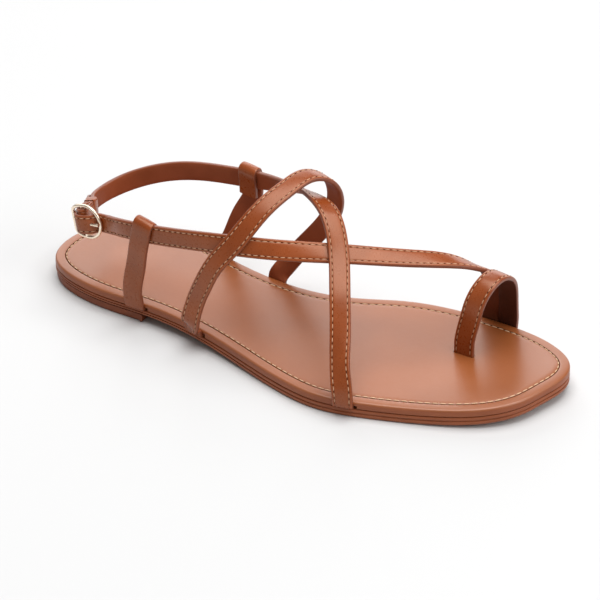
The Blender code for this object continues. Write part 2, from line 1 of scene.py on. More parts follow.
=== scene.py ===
# %% [markdown]
# # A strappy flat sandal, right foot
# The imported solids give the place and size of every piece.  This lesson dresses them: each strap
# becomes a strip of leather with painted edges and a lining, the footbed gets its stitched
# groove, and the buckle its polish.  Everything is measured in millimetres in the shoe's own
# frame, with X from the heel to the toe, Y to the big-toe side and Z up, and is moved into the
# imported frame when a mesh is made.

from math import acos, ceil, cos, pi, radians, sin

import bmesh
import bpy
import numpy as np
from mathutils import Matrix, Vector


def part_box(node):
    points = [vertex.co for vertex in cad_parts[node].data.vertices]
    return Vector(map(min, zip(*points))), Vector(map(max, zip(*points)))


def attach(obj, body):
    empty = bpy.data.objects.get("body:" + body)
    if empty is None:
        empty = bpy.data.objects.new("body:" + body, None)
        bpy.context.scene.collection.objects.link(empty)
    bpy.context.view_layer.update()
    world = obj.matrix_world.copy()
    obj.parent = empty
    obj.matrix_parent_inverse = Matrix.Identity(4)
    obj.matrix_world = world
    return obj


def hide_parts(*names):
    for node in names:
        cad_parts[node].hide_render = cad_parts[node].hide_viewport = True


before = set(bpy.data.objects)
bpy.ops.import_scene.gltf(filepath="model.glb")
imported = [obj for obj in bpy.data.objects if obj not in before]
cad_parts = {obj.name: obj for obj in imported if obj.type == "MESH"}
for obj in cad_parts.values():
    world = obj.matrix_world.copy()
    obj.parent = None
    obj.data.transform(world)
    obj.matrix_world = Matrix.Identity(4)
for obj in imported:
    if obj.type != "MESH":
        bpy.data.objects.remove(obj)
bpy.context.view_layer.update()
MM = 0.001
print("frame loaded:", sorted(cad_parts))

# %% [markdown]
# ## The shape of the sole
# A sole is drawn as an outline, one row per station from the heel with the distance out to each
# side.  A natural cubic through the rows gives a fair curve.  The stations are spread by an angle
# instead of by length, so they crowd together at the round ends, where the outline turns fast.

# %% Outline, heights and a cubic through rows
LENGTH = 250.0
HEEL_END = 60.5
BALL_START = 140.0
SPRING_START = 185.0
TOE_SPRING = 3.8
FIT_GAP = 0.3
LIFT_HEIGHT = 3.8
OUTSOLE_HEEL = 2.5
OUTSOLE_BALL = 4.2
FOOTBED_THICK = 3.7
# The outline's cubic runs over the angle, stretched to a length of the same size as its offsets.
ANGLE_SCALE = 60.0
SIDE_STEPS = 12
CAD_STEPS = 40

# Station from the heel, big-toe side, little-toe side.
OUTLINE = (
    (0.0, -3.0, -3.0), (3.0, 10.6, -15.8), (8.0, 18.9, -21.3),
    (16.0, 26.0, -25.6), (25.0, 29.4, -28.1), (40.0, 29.8, -29.6),
    (60.0, 27.0, -29.0), (90.0, 22.4, -30.8), (116.0, 23.6, -36.3),
    (141.0, 32.1, -42.7), (160.0, 41.2, -45.3), (185.0, 46.7, -39.8),
    (210.0, 47.1, -30.2), (225.0, 44.5, -23.0), (236.0, 40.0, -14.8),
    (244.0, 34.2, -3.2), (248.0, 28.6, 9.6), (250.0, 20.0, 20.0),
)


def spline(rows, steps_of):
    """Natural cubic through the rows; steps_of gives the steps between two rows."""
    rows = np.array(rows, dtype=float)
    chord = np.linalg.norm(np.diff(rows[:, :3], axis=0), axis=1)
    place = np.concatenate([[0.0], np.cumsum(chord)])
    count = len(rows)
    matrix = np.eye(count)
    right = np.zeros_like(rows)
    for i in range(1, count - 1):
        before = place[i] - place[i - 1]
        after = place[i + 1] - place[i]
        matrix[i, i - 1 : i + 2] = (before, 2.0 * (before + after), after)
        rise = (rows[i + 1] - rows[i]) / after - (rows[i] - rows[i - 1]) / before
        right[i] = 6.0 * rise
    bend = np.linalg.solve(matrix, right)
    points = []
    for i in range(count - 1):
        span = place[i + 1] - place[i]
        steps = steps_of(span)
        for k in range(steps + (i == count - 2)):
            b = k / steps
            a = 1.0 - b
            curve = ((a**3 - a) * bend[i] + (b**3 - b) * bend[i + 1]) * span * span / 6.0
            points.append(a * rows[i] + b * rows[i + 1] + curve)
    return np.array(points)


def outline_angle(station):
    return acos(1.0 - 2.0 * station / LENGTH)


def cosine_stations(count, end):
    """Stations from the heel to end, close together at both round ends."""
    last = outline_angle(end)
    return [LENGTH * (1.0 - cos(last * i / count)) / 2.0 for i in range(count + 1)]


def side_spline(column):
    """Angle and side offset along one side of the outline."""
    rows = [(outline_angle(line[0]) * ANGLE_SCALE, line[column], 0.0) for line in OUTLINE]
    return spline(rows, lambda span: SIDE_STEPS)


SIDES = {1: side_spline(1), -1: side_spline(2)}


def side_offset(side, station):
    """Y of the outline; side is +1 for the big-toe side, -1 for the other."""
    table = SIDES[side]
    return float(np.interp(outline_angle(station) * ANGLE_SCALE, table[:, 0], table[:, 1]))


def smooth_step(value, start, end):
    share = min(max((value - start) / (end - start), 0.0), 1.0)
    return share * share * (3.0 - 2.0 * share)


def outsole_bottom(x):
    rest = (LIFT_HEIGHT + FIT_GAP) * (1.0 - smooth_step(x, HEEL_END, BALL_START))
    spring = max(x - SPRING_START, 0.0) / (LENGTH - SPRING_START)
    return rest + TOE_SPRING * spring * spring


def outsole_top(x):
    ball = smooth_step(x, HEEL_END, BALL_START)
    return outsole_bottom(x) + OUTSOLE_HEEL + (OUTSOLE_BALL - OUTSOLE_HEEL) * ball


def footbed_bottom(x):
    return outsole_top(x) + FIT_GAP


def footbed_top(x):
    return footbed_bottom(x) + FOOTBED_THICK


sole_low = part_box("outsole")[0]
outer_side = min(side_offset(-1, station) for station in cosine_stations(CAD_STEPS, LENGTH))
TO_FRAME = np.array([sole_low.x / MM, sole_low.y / MM - outer_side, 0.0])
print("shoe frame to packed frame, mm:", np.round(TO_FRAME, 3))

# %% [markdown]
# ## Finishes
# All the leather is the same dressed hide: a dark brown body under a waxed shine.  The shine turns
# the footbed pale in a white studio, because it mirrors the light behind the shoe, and the true
# orange brown shows only under the toe loop.  So the finish is a dark base with a strong, faintly
# tinted reflection, and not a pale paint.  Patches, pores and a change of gloss come from noise on
# Object coordinates, so they hold still on every piece.


# %% Helpers for node materials
def add_node(tree, kind, settings=None, **sockets):
    """Add a node, set its own settings, then its sockets by name."""
    node = tree.nodes.new(kind)
    for key, value in (settings or {}).items():
        setattr(node, key, value)
    for key, value in sockets.items():
        node.inputs[key.replace("_", " ")].default_value = value
    return node


def join(tree, links):
    """Link sockets; a link is a node, its output, the next node and its input."""
    for source, output, target, socket in links:
        tree.links.new(source.outputs[output], target.inputs[socket])


def new_material(name):
    material = bpy.data.materials.new(name)
    material.use_nodes = True
    return material, material.node_tree, material.node_tree.nodes["Principled BSDF"]


def clouded(name, low, high, patch, shine, stretch=(1.0, 1.0, 1.0)):
    """Material with a shine, and with two tones in clouds per metre."""
    material, tree, shader = new_material(name)
    shader.inputs["Specular IOR Level"].default_value = shine
    start = add_node(tree, "ShaderNodeTexCoord")
    place = add_node(tree, "ShaderNodeMapping", Scale=stretch)
    clouds = add_node(tree, "ShaderNodeTexNoise", Scale=patch, Detail=4.0, Roughness=0.6)
    tone = add_node(tree, "ShaderNodeValToRGB")
    for stop, position, colour in zip(tone.color_ramp.elements, (0.35, 0.65), (low, high)):
        stop.position = position
        stop.color = (*colour, 1.0)
    links = (
        (start, "Object", place, "Vector"),
        (place, "Vector", clouds, "Vector"),
        (clouds, "Fac", tone, "Fac"),
        (tone, "Color", shader, "Base Color"),
    )
    join(tree, links)
    return material, tree, shader, place, clouds


def surface(tree, shader, gloss, rough, spread, relief, output, strength, depth):
    """Roughness that wanders by a spread with one texture, and relief in mm from another."""
    limits = {"To_Min": rough - spread, "To_Max": rough + spread}
    wander = add_node(tree, "ShaderNodeMapRange", From_Min=0.3, From_Max=0.7, **limits)
    bump = add_node(tree, "ShaderNodeBump", Strength=strength, Distance=depth * MM)
    links = (
        (gloss, "Fac", wander, "Value"),
        (wander, "Result", shader, "Roughness"),
        (relief, output, bump, "Height"),
        (bump, "Normal", shader, "Normal"),
    )
    join(tree, links)


def leather(name, low, high, patch, pore, depth, rough, shine, tint):
    """Dressed leather: patches and pores per metre, pore depth in mm, and a tinted shine."""
    material, tree, shader, place, clouds = clouded(name, low, high, patch, shine)
    shader.inputs["Specular Tint"].default_value = (*tint, 1.0)
    pores = add_node(tree, "ShaderNodeTexVoronoi", {"feature": "DISTANCE_TO_EDGE"}, Scale=pore)
    wrinkle = add_node(tree, "ShaderNodeTexNoise", Scale=pore * 0.35, Detail=3.0, Roughness=0.7)
    relief = add_node(tree, "ShaderNodeMath", {"operation": "MULTIPLY_ADD"})
    relief.inputs[1].default_value = 0.6
    links = (
        (place, "Vector", pores, "Vector"),
        (place, "Vector", wrinkle, "Vector"),
        (pores, "Distance", relief, 0),
        (wrinkle, "Fac", relief, 2),
    )
    join(tree, links)
    surface(tree, shader, wrinkle, rough, 0.04, relief, "Value", 0.5, depth)
    return material


def lining(name, low, high, rough):
    """Flesh side of the leather, with hardly any wax."""
    return leather(name, low, high, 70.0, 1300.0, 0.08, rough, 0.2, (1.0, 0.8, 0.7))


def plain_finish(name, low, high, patch, rough, depth, shine, metallic=0.0, stretch=(1.0, 1.0, 1.0)):
    """Even finish with clouds per metre in colour, gloss and height, which is depth mm."""
    material, tree, shader, place, clouds = clouded(name, low, high, patch, shine, stretch)
    shader.inputs["Metallic"].default_value = metallic
    surface(tree, shader, clouds, rough, 0.07, clouds, "Fac", 0.4, depth)
    return material


# %% The finishes of this sandal
STRAP_LEATHER = leather(
    "strap leather", (0.23, 0.046, 0.009), (0.285, 0.062, 0.014),
    patch=55.0, pore=1500.0, depth=0.012, rough=0.29, shine=0.6, tint=(1.0, 0.78, 0.61),
)
FOOTBED_LEATHER = leather(
    "footbed leather", (0.275, 0.073, 0.016), (0.31, 0.086, 0.021),
    patch=22.0, pore=1600.0, depth=0.004, rough=0.38, shine=0.85, tint=(1.0, 0.95, 0.9),
)
STRAP_LINING = lining("strap lining", (0.25, 0.058, 0.02), (0.3, 0.074, 0.028), 0.55)
# The toe strap's lining and the toe loop's lining are darker than the strap lining: painted shade for
# the inside of the toe loop.
TOE_LINING_PAINTED_SHADE = lining("toe strap lining with painted shade", (0.13, 0.034, 0.014), (0.16, 0.043, 0.018), 0.6)
LOOP_LINING_PAINTED_SHADE = lining("toe loop lining with painted shade", (0.07, 0.02, 0.01), (0.09, 0.026, 0.014), 0.6)

# Plain finishes: dark and light colour, clouds per metre, roughness, depth and shine.
LAYERED = (0.3, 0.3, 2.0)
EDGE_PAINT = plain_finish(
    "strap edge paint", (0.2, 0.056, 0.026), (0.24, 0.07, 0.033), 300.0, 0.36, 0.04, 0.45
)
SOLE_FINISH = plain_finish(
    "sole edge", (0.26, 0.068, 0.022), (0.32, 0.088, 0.03), 160.0, 0.42, 0.06, 0.35, stretch=LAYERED
)
LIFT_FINISH = plain_finish(
    "heel lift rubber", (0.2, 0.052, 0.02), (0.26, 0.07, 0.028), 200.0, 0.5, 0.08, 0.3, stretch=LAYERED
)
THREAD = plain_finish("stitch thread", (0.53, 0.3, 0.18), (0.61, 0.36, 0.225), 900.0, 0.6, 0.05, 0.2)
PALE_THREAD = plain_finish(
    "footbed thread", (0.7, 0.46, 0.28), (0.78, 0.54, 0.35), 900.0, 0.6, 0.05, 0.2
)
# Dark grains between the stitches and the walls of the prong's hole: painted shade of holes in the
# leather.
NEEDLE_HOLE_SHADE = plain_finish(
    "needle hole shade", (0.06, 0.02, 0.01), (0.08, 0.026, 0.013), 600.0, 0.8, 0.02, 0.1
)
# Dark finish of the footbed groove's faces: painted shade in the groove.
FOOTBED_GROOVE_SHADE = plain_finish(
    "footbed groove shade", (0.12, 0.034, 0.012), (0.15, 0.044, 0.016), 300.0, 0.7, 0.03, 0.1
)
GOLD = plain_finish(
    "pale gold wire", (0.92, 0.74, 0.56), (0.97, 0.84, 0.69), 260.0, 0.3, 0.01, 0.5, metallic=1.0
)
print("finishes:", len(bpy.data.materials))

# %% [markdown]
# ## Making meshes
# Every piece is a mesh of its own at the origin, with its place in its vertices.  Shading is
# smooth except across edges sharper than an angle, as on the rim of a strap.

# %% From rings of points to a piece
LEATHER_SHARP = 40.0
SOLE_SHARP = 48.0
WIRE_SHARP = 50.0


def in_frame(point):
    """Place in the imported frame, in metres, of a point in shoe millimetres."""
    return Vector((np.array(point) + TO_FRAME) * MM)


def new_object(name, data):
    obj = bpy.data.objects.new(name, data)
    bpy.context.scene.collection.objects.link(obj)
    return obj


def shade(mesh, sharp):
    """Smooth shading, except across edges sharper than an angle in degrees."""
    mesh.shade_smooth()
    mesh.set_sharp_from_angle(angle=radians(sharp))


def finish_mesh(name, bm, materials, sharp=LEATHER_SHARP):
    """Make an object from a bmesh in shoe millimetres."""
    for vertex in bm.verts:
        vertex.co = in_frame(vertex.co)
    bmesh.ops.recalc_face_normals(bm, faces=bm.faces)
    mesh = bpy.data.meshes.new(name)
    bm.to_mesh(mesh)
    bm.free()
    for material in materials:
        mesh.materials.append(material)
    shade(mesh, sharp)
    return new_object(name, mesh)


def bridge(bm, low, high, zones=None):
    """Quads between two closed rings; zones gives each quad its material."""
    count = len(low)
    for i in range(count):
        j = (i + 1) % count
        face = bm.faces.new((low[i], low[j], high[j], high[i]))
        if zones:
            face.material_index = zones[i]


def tube(name, rings, materials, zones=None, cap=0):
    """Piece from a row of rings of points, with a face of the cap's material at each end."""
    bm = bmesh.new()
    rings = [[bm.verts.new(point) for point in ring] for ring in rings]
    for low, high in zip(rings, rings[1:]):
        bridge(bm, low, high, zones)
    for ring in (rings[0], rings[-1]):
        bm.faces.new(ring).material_index = cap
    return finish_mesh(name, bm, materials)


def evaluated_mesh(obj):
    """Mesh of an object with its modifiers or its bevel worked out."""
    bpy.context.view_layer.update()
    graph = bpy.context.evaluated_depsgraph_get()
    return bpy.data.meshes.new_from_object(obj.evaluated_get(graph))


def baked(obj):
    """Replace an object's mesh by its evaluated one and drop the modifiers."""
    mesh = evaluated_mesh(obj)
    mesh.name = obj.name
    obj.modifiers.clear()
    obj.data = mesh
    return obj


def combine(obj, helpers, operation, sharp):
    """Boolean a piece with helper solids, then remove the helpers."""
    for helper in helpers:
        step = obj.modifiers.new(helper.name, "BOOLEAN")
        step.operation = operation
        step.solver = "EXACT"
        step.object = helper
    baked(obj)
    for helper in helpers:
        bpy.data.objects.remove(helper)
    shade(obj.data, sharp)


# %% [markdown]
# ## Heel lift, outsole and footbed
# Each layer of the sole is a loft: the outline is drawn inwards by an inset and lifted by a share
# of the layer's height, once for every row of its side profile.  The outsole's side has a groove,
# where the mould parts.  The footbed's profile rolls over its rim, drops into a narrow cut whose
# faces are painted dark as shade, and comes up on a shallow ledge for the thread before it runs
# on as a smooth bed.

# %% Loft of a sole layer
# Inset and share of the height, from the bottom up.
OUTSOLE_SIDE = (
    (1.2, 0.0), (0.55, 0.04), (0.2, 0.14), (0.03, 0.26), (0.0, 0.38), (0.08, 0.46), (0.50, 0.51),
    (0.55, 0.56), (0.50, 0.61), (0.08, 0.66), (0.0, 0.72), (0.0, 0.88), (0.12, 0.96), (0.35, 1.0),
)
FOOTBED_SIDE = (
    (0.45, 0.0), (0.12, 0.05), (0.0, 0.14), (0.0, 0.40), (0.0, 0.66), (0.06, 0.78), (0.22, 0.87),
    (0.48, 0.935), (0.85, 0.97), (1.4, 0.99), (2.4, 1.0), (3.5, 0.995), (4.1, 0.985), (4.46, 0.965),
    (4.50, 0.92), (4.54, 0.83), (4.94, 0.83), (4.98, 0.93), (5.04, 0.945), (5.36, 0.95),
    (5.48, 0.985), (5.7, 1.0), (7.5, 1.0),
)
LIFT_SIDE = ((1.3, 0.0), (0.9, 0.05), (0.65, 0.16), (0.5, 0.5), (0.4, 0.9), (0.5, 1.0))
GROOVE_INSETS = (4.46, 4.98)
STITCH_INSET = 5.2
STITCH_DEEP = 0.06
RIM_INSET = 0.14
FINE_STEPS = 110
LIFT_STEPS = 44


def unit(vectors):
    return vectors / np.linalg.norm(vectors, axis=-1, keepdims=True)


def outline_loop(stations):
    """Closed outline: out along the big-toe side, back along the other, with inward turns."""
    medial = [(x, side_offset(1, x)) for x in stations]
    lateral = [(x, side_offset(-1, x)) for x in stations]
    back = lateral[1:-1] if stations[-1] >= LENGTH else lateral[1:]
    loop = np.array(medial + back[::-1])
    tangent = unit(np.roll(loop, -1, axis=0) - np.roll(loop, 1, axis=0))
    return loop, np.stack([tangent[:, 1], -tangent[:, 0]], axis=1)


def sole_layer(name, stations, side, bottom, top, materials, zone_of=None):
    """Rings up the side of a layer, with ladders of quads under and over it.

    With zone_of, the inset midway between two rings chooses the material.
    """
    loop, inward = outline_loop(stations)
    bm = bmesh.new()
    rings = []
    for inset, share in side:
        ring = []
        for point, turn in zip(loop, inward):
            x, y = point + turn * inset
            height = bottom(point[0]) + share * (top(point[0]) - bottom(point[0]))
            ring.append(bm.verts.new((x, y, height)))
        rings.append(ring)
    count = len(loop)
    for i in range(len(rings) - 1):
        zone = zone_of((side[i][0] + side[i + 1][0]) / 2.0) if zone_of else 0
        bridge(bm, rings[i], rings[i + 1], [zone] * count)
    for ring in (rings[0], rings[-1]):
        for i in range(len(stations) - 1):
            corners = [ring[i], ring[i + 1], ring[(count - i - 1) % count], ring[(count - i) % count]]
            bm.faces.new(list(dict.fromkeys(corners)))
    return finish_mesh(name, bm, materials, SOLE_SHARP)


def footbed_zone(inset):
    """Leather on top, the sole's finish on the side, painted shade in the groove beside the stitches.
    """
    if GROOVE_INSETS[0] < inset < GROOVE_INSETS[1]:
        return 2
    return 1 if inset < RIM_INSET else 0


fine_stations = cosine_stations(FINE_STEPS, LENGTH)
lift_stations = cosine_stations(LIFT_STEPS, HEEL_END)
heel_lift = sole_layer(
    "heel_lift_dressed", lift_stations, LIFT_SIDE, lambda x: 0.0, lambda x: LIFT_HEIGHT, [LIFT_FINISH]
)
outsole = sole_layer(
    "outsole_dressed", fine_stations, OUTSOLE_SIDE, outsole_bottom, outsole_top, [SOLE_FINISH]
)
footbed = sole_layer(
    "footbed_dressed",
    fine_stations,
    FOOTBED_SIDE,
    footbed_bottom,
    footbed_top,
    [FOOTBED_LEATHER, SOLE_FINISH, FOOTBED_GROOVE_SHADE],
    footbed_zone,
)
print("sole layers:", [len(o.data.polygons) for o in (heel_lift, outsole, footbed)], "faces")

# %% [markdown]
# ## Routes of the straps
# A strap is a flat strip that bends and twists.  Its route is a short table: the middle of the
# strap, and the way its outer face looks.  The cubic runs through both, and the facing is then
# squared up to the run, so the strip never shears.  The tables are those of the solids, and what
# depends on a neighbour is worked out from it: a strap that crosses another lies just clear of it,
# and a foot follows the edge of the footbed round and under.  Only the toe strap's free end is its
# own: it grows thin to its tip, and the strap dives a little later under the bow.

# %% Tables of the routes
STRAP_WIDTH = 9.3
POST_WIDTH = 9.8
STRAP_THICK = 2.0
TUCK_THICK = 1.2
TUCK_DEPTH = 12.0
LAP = 2.06
WIRE_RADIUS = 0.8
PRONG_RADIUS = 0.65
BUCKLE_MIDDLE = np.array([29.4, -25.5, 41.6])
BUCKLE_FORWARD = np.array([0.976, -0.07, 0.205])
BAR_BACK = 2.2
RING_BACK = 7.9
RING_FRONT = 7.2
RING_HALF_HEIGHT = 7.8
HEEL_TURN = 73.0
FOLD_THICK = 1.2
FOLD_LIFT = 1.9
FLAP_LENGTH = 8.0
TAIL_THICK = 1.5
TAIL_LENGTH = 31.0
KEEPER_START = 10.0
KEEPER_LENGTH = 8.0

# Middle x, y, z and facing x, y, z.  Heel part of the rear strap, from behind the buckle round
# the heel to the big-toe side.
HEEL_PART = (
    (18.2, -6.6, 36.8, -0.88, -0.47, 0.0),
    (14.8, 1.5, 35.0, -0.98, -0.15, 0.0),
    (14.9, 9.0, 34.8, -0.93, 0.35, 0.0),
    (19.2, 17.0, 36.8, -0.65, 0.75, 0.0),
    (26.0, 22.2, 39.8, -0.4, 0.91, 0.0),
    (34.0, 25.8, 42.8, -0.25, 0.97, 0.0),
    (47.0, 28.4, 46.8, -0.05, 1.0, 0.0),
    (65.0, 28.8, 50.8, 0.0, 1.0, 0.03),
)
# The same strap over the instep, before and after it crosses the toe strap.
INSTEP_RISE = (
    (82.3, 27.4, 54.4, 0.05, 0.99, 0.06),
    (105.9, 20.6, 61.9, 0.0, 0.85, 0.5),
    (126.6, 10.5, 68.4, -0.05, 0.5, 0.86),
    (140.9, 1.8, 67.4, 0.2, -0.05, 0.98),
)
INSTEP_FALL = (
    (159.6, -20.4, 46.8, 0.4, -0.7, 0.55),
    (166.8, -31.5, 34.0, 0.35, -0.82, 0.45),
    (173.0, -41.4, 20.4, 0.2, -0.93, 0.3),
)
# Toe strap from the buckle along the little-toe side, over the forefoot and down beside the
# outer leg of the toe loop.
TOE_RUN = (
    (47.0, -27.0, 45.4, 0.0, -1.0, 0.0),
    (62.2, -29.0, 48.5, 0.0, -1.0, 0.03),
    (87.6, -29.5, 53.5, 0.0, -1.0, 0.1),
    (107.6, -27.8, 56.7, 0.1, -0.94, 0.3),
    (128.4, -20.5, 57.2, 0.26, -0.74, 0.6),
    (151.1, -6.0, 55.3, 0.28, -0.46, 0.84),
    (175.9, 12.0, 51.8, 0.2, -0.25, 0.95),
    (187.5, 20.6, 50.2, 0.12, -0.1, 0.98),
    (194.6, 27.4, 47.2, 0.06, 0.22, 0.97),
    (198.4, 33.4, 42.9, 0.04, 0.52, 0.85),
    (199.4, 40.6, 37.0, 0.03, 0.8, 0.6),
    (199.0, 45.0, 28.4, 0.02, 0.96, 0.28),
    (197.0, 47.9, 17.0, 0.0, 1.0, 0.08),
)
# Instep strap, little-toe side leg up to its crossing, then over and down the other side.
ARCH_RISE = (
    (91.4, -36.0, 14.3, -0.05, -0.99, 0.0),
    (94.0, -36.0, 26.0, -0.08, -0.99, 0.05),
    (98.0, -35.2, 36.9, -0.08, -0.98, 0.12),
    (102.8, -33.2, 47.7, -0.08, -0.95, 0.25),
)
ARCH_FALL = (
    (117.4, -16.5, 72.6, 0.08, -0.76, 0.64),
    (122.0, -2.0, 78.2, 0.12, -0.3, 0.94),
    (125.2, 9.5, 79.0, 0.18, 0.25, 0.95),
    (129.4, 16.6, 75.2, 0.25, 0.7, 0.67),
    (130.8, 22.0, 64.4, 0.2, 0.93, 0.25),
    (121.4, 26.0, 42.4, 0.05, 0.99, 0.0),
    (108.5, 26.8, 25.0, 0.0, 1.0, 0.0),
    (101.5, 25.8, 14.5, 0.0, 1.0, 0.0),
)
# Toe loop from the slot in the footbed over the big toe to the edge.
LOOP_BODY = (
    (201.6, 16.2, 14.0, 0.0, -1.0, 0.0),
    (203.8, 16.4, 26.5, 0.0, -1.0, 0.05),
    (205.6, 18.6, 36.8, 0.0, -0.88, 0.45),
    (207.2, 23.6, 42.4, 0.0, -0.5, 0.86),
    (208.2, 31.0, 43.6, 0.05, 0.1, 0.99),
    (208.6, 38.2, 39.6, 0.05, 0.62, 0.78),
    (207.6, 43.8, 29.6, 0.03, 0.95, 0.3),
    (206.2, 47.4, 17.0, 0.0, 1.0, 0.08),
)
LOOP_SLOT_Y = 16.2
# Posts between the foot and the fold over an ankle strap.
LATERAL_POST = ((56.8, -31.0, 16.0, 0.0, -1.0, 0.0), (58.8, -30.6, 31.0, 0.0, -1.0, 0.0))
MEDIAL_POST = ((70.6, 27.0, 17.0, 0.0, 1.0, 0.0), (77.0, 28.8, 34.0, 0.0, 1.0, 0.0))

# Where the toe strap runs under the rear strap and under the instep strap.
REAR_CROSSING = (150.2, -6.6, 55.3)
ARCH_CROSSING = (108.3, -27.7, 56.8)

# Feet of the straps: side of the shoe and station.
REAR_FOOT = (-1, 175.6)
ARCH_LATERAL_FOOT = (-1, 90.2)
ARCH_MEDIAL_FOOT = (1, 99.2)
LOOP_FOOT = (1, 205.5)
TOE_FOOT = (1, 196.1)
LATERAL_POST_FOOT = (-1, 57.0)
MEDIAL_POST_FOOT = (1, 68.0)

# %% Rows that follow from a neighbour
STRAP_STEP = 1.3
UPRIGHT = np.array([0.0, 0.0, 1.0])
TURN_RADIUS = 2.0
TURN_THICK = 1.6
TURN_LEAD = 1.5
TURN_RISE = 0.8
SLOT_TUCK = 8.0
FOLD_LOW = STRAP_WIDTH / 2.0 + 2.1
FOLD_HIGH = STRAP_WIDTH / 2.0 - 0.4


def band_frames(rows):
    """Middle, run, facing and thickness along a strap laid through its rows."""
    points = spline(rows, lambda span: max(3, ceil(span / STRAP_STEP)))
    middle = points[:, :3]
    run = unit(np.gradient(middle, axis=0))
    facing = points[:, 3:6]
    facing = unit(facing - run * np.sum(facing * run, axis=1)[:, None])
    return middle, run, facing, points[:, 6]


def path_along(middle):
    """Distance along a route at each of its points."""
    step = np.linalg.norm(np.diff(middle, axis=0), axis=1)
    return np.concatenate([[0.0], np.cumsum(step)])


def row(middle, facing, thick=STRAP_THICK):
    return tuple(middle) + tuple(facing) + (thick,)


def rows_of(table):
    return [row(line[:3], line[3:6]) for line in table]


def edge(side, station):
    """Point of the outline and its outward direction in plan."""
    slope = side_offset(side, station + 0.5) - side_offset(side, station - 0.5)
    outward = np.array([-slope * side, side, 0.0])
    point = np.array([station, side_offset(side, station), 0.0])
    return point, unit(outward)


def tuck_rows(spot, out, station, depth, face):
    """End of a strap: flat under the footbed for a depth, then turned up where out leads.

    With face at 1 its outer face looks down, then along out; with -1 the other way.
    """
    base = spot + UPRIGHT * (footbed_bottom(station) + TUCK_THICK / 2.0)
    half = TURN_RADIUS * cos(pi / 4.0)
    bend = base + out * half + UPRIGHT * (TURN_RADIUS - half)
    return [
        row(base - out * depth, -UPRIGHT * face, TUCK_THICK),
        row(base - out * TURN_LEAD, -UPRIGHT * face, TUCK_THICK),
        row(bend, (out - UPRIGHT) * face, TURN_THICK),
        row(base + out * TURN_RADIUS + UPRIGHT * (TURN_RADIUS + TURN_RISE), out * face),
    ]


def foot_rows(side, station):
    """A strap's foot: tucked under the footbed, round its edge and up beside it."""
    point, outward = edge(side, station)
    turn = FIT_GAP + STRAP_THICK / 2.0 - TURN_RADIUS
    return tuck_rows(point + outward * turn, outward, station, TUCK_DEPTH + turn, 1.0)


def nearest_frame(rows, point):
    """Middle, run and facing of a strap at its place nearest to a point."""
    middle, run, facing = band_frames(rows)[:3]
    i = np.argmin(np.linalg.norm(middle - point, axis=1))
    return middle[i], run[i], facing[i]


def over(rows, point):
    """Row for a strap that lies on the outside of another one near a point."""
    middle, run, facing = nearest_frame(rows, point)
    return row(middle + facing * LAP, facing)


def post_rows(foot, table, held, near, square, flap):
    """Post from its foot up the outside of an ankle strap, over it and down inside.

    The fold follows the post's climb, or with square at 1 it lies square across the strap.
    The flap is how far its end hangs below the middle of the strap.
    """
    middle, run, facing = nearest_frame(held, near)
    climb = middle - np.array(table[-1][:3])
    climb = unit(climb - facing * np.dot(climb, facing))
    straight = unit(climb - run * np.dot(climb, run))
    rise = unit(climb * (1.0 - square) + straight * square)
    half = LAP * cos(pi / 4.0)
    # away from the strap's middle, high on it, facing
    fold = (
        (LAP, -FOLD_LOW, facing),
        (LAP, 0.0, facing),
        (LAP, FOLD_HIGH, facing),
        (half, FOLD_HIGH + half, facing + rise),
        (0.0, FOLD_HIGH + LAP, rise),
        (-half, FOLD_HIGH + half, rise - facing),
        (-LAP, FOLD_HIGH, -facing),
        (-LAP, FOLD_HIGH - flap / 2.0, -facing),
        (-LAP, -flap, -facing),
    )
    rows = [row(middle + facing * away + rise * high, turn) for away, high, turn in fold]
    return foot + rows_of(table) + rows


def toe_loop_rows():
    """Toe loop: tucked under the footbed, up through its slot, over and round the edge."""
    station = LOOP_BODY[0][0]
    spot = np.array([station, LOOP_SLOT_Y - TURN_RADIUS, 0.0])
    slot = tuck_rows(spot, np.array([0.0, 1.0, 0.0]), station, SLOT_TUCK, -1.0)
    return slot + rows_of(LOOP_BODY) + foot_rows(*LOOP_FOOT)[::-1]


# %% [markdown]
# ## The buckle's own axes
# Buckle, prong, strap end and keeper all hang on one bar, so their places are given along the
# strap, outward and up from the middle of the buckle.  The rear strap folds round the bar, and the
# toe strap comes under the bow, over the bar, and lies back along the heel.

# %% Rows at the buckle
FORWARD = unit(BUCKLE_FORWARD)
OUTWARD = unit(np.cross(FORWARD, UPRIGHT))
UP = np.cross(OUTWARD, FORWARD)


def on_buckle(ahead, out, high=0.0):
    return BUCKLE_MIDDLE + FORWARD * ahead + OUTWARD * out + UP * high


BAR = on_buckle(-BAR_BACK, 0.0)


def bar_side(turn):
    """Direction away from the bar, turned back from the outward side by degrees."""
    return OUTWARD * cos(radians(turn)) - FORWARD * sin(radians(turn))


HEEL_OUT = bar_side(HEEL_TURN)
HEEL_AWAY = bar_side(HEEL_TURN + 90.0)
HEEL_START = BAR + HEEL_OUT * 2.0


def buckled_end():
    """Rear strap's end: folded round the bar of the buckle, its flap on the inside."""
    wrap = WIRE_RADIUS + FIT_GAP + FOLD_THICK / 2.0
    flap = (FOLD_THICK + FIT_GAP) / 2.0
    middle = BAR + UP * FOLD_LIFT

    def beside(away, out, down, face, thick):
        return row(middle + HEEL_AWAY * away + HEEL_OUT * out - UP * down, HEEL_OUT * face, thick)

    rows = [
        beside(FLAP_LENGTH, -flap - 0.6, 0.8, -1.0, FOLD_THICK),
        beside(FLAP_LENGTH / 2.0, -flap - 0.6, 0.4, -1.0, FOLD_THICK),
    ]
    for turn in (-180.0, -135.0, -90.0, -45.0, 0.0):
        side = bar_side(HEEL_TURN + turn)
        rows.append(row(middle + side * wrap, side, FOLD_THICK))
    rows.append(beside(6.0, flap + 0.3, 0.6, 1.0, 1.7))
    rows.append(beside(12.5, flap - 0.1, 2.4, 1.0, STRAP_THICK))
    return rows


